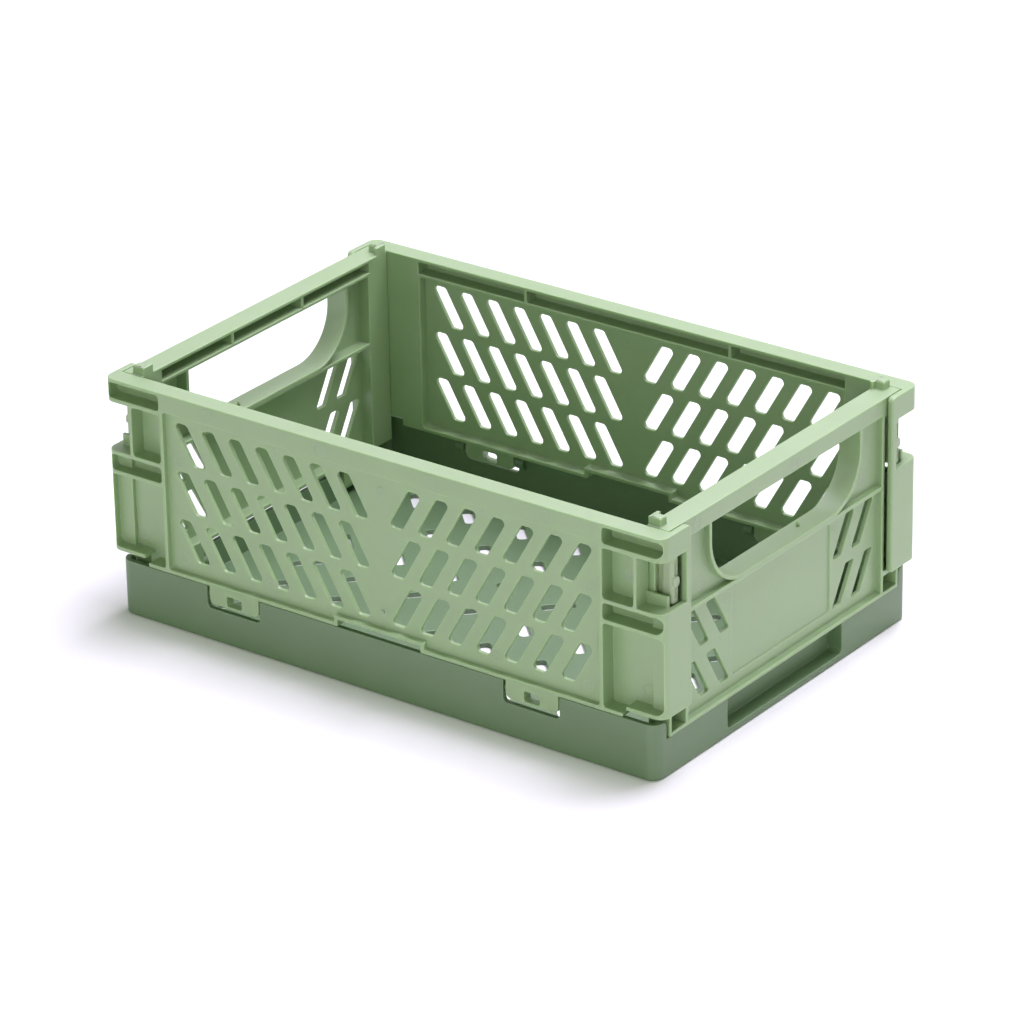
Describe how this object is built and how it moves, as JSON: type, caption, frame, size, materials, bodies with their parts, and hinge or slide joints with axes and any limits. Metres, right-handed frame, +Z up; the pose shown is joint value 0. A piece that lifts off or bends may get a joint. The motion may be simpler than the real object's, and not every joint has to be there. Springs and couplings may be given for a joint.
{
  "type": "collapsible storage crate",
  "caption": "Fold-flat open-top storage crate with slotted walls, end handle openings, corner latches and stacking pegs.",
  "frame": {"origin": "middle of the underside of the base tray, on the surface the crate stands on", "axes": "+X along the crate's length towards an end panel with a handle opening, +Y across the width, +Z up"},
  "size_m": [0.2694, 0.175, 0.1059],
  "materials": {
    "crate_green": "fine matte moulded polypropylene, sage green",
    "base_green": "fine matte moulded polypropylene, sage green, a little greyer",
    "latch_green": "smooth satin moulded polypropylene, olive green"
  },
  "bodies": {
    "base": {"base_tray": "base_green"},
    "front_wall": {"front_side": "crate_green"},
    "back_wall": {"back_side": "crate_green"},
    "right_wall": {"right_end": "crate_green", "latch_front_right": "latch_green", "latch_back_right": "latch_green"},
    "left_wall": {"left_end": "crate_green", "latch_front_left": "latch_green", "latch_back_left": "latch_green"}
  },
  "joints": [
    {"name": "right_end_fold", "type": "hinge", "parent": "base", "child": "right_wall", "pos_m": [0.1243, 0, 0.0072], "axis": [0, -1, 0], "range_deg": [0, 90]},
    {"name": "left_end_fold", "type": "hinge", "parent": "base", "child": "left_wall", "pos_m": [-0.1243, 0, 0.0072], "axis": [0, 1, 0], "range_deg": [0, 90]},
    {"name": "front_side_hinge", "type": "hinge", "parent": "base", "child": "front_wall", "pos_m": [0, -0.0845, 0.0202], "axis": [1, 0, 0], "range_deg": [0, 1]},
    {"name": "back_side_hinge", "type": "hinge", "parent": "base", "child": "back_wall", "pos_m": [0, 0.0845, 0.0202], "axis": [-1, 0, 0], "range_deg": [0, 1]}
  ]
}
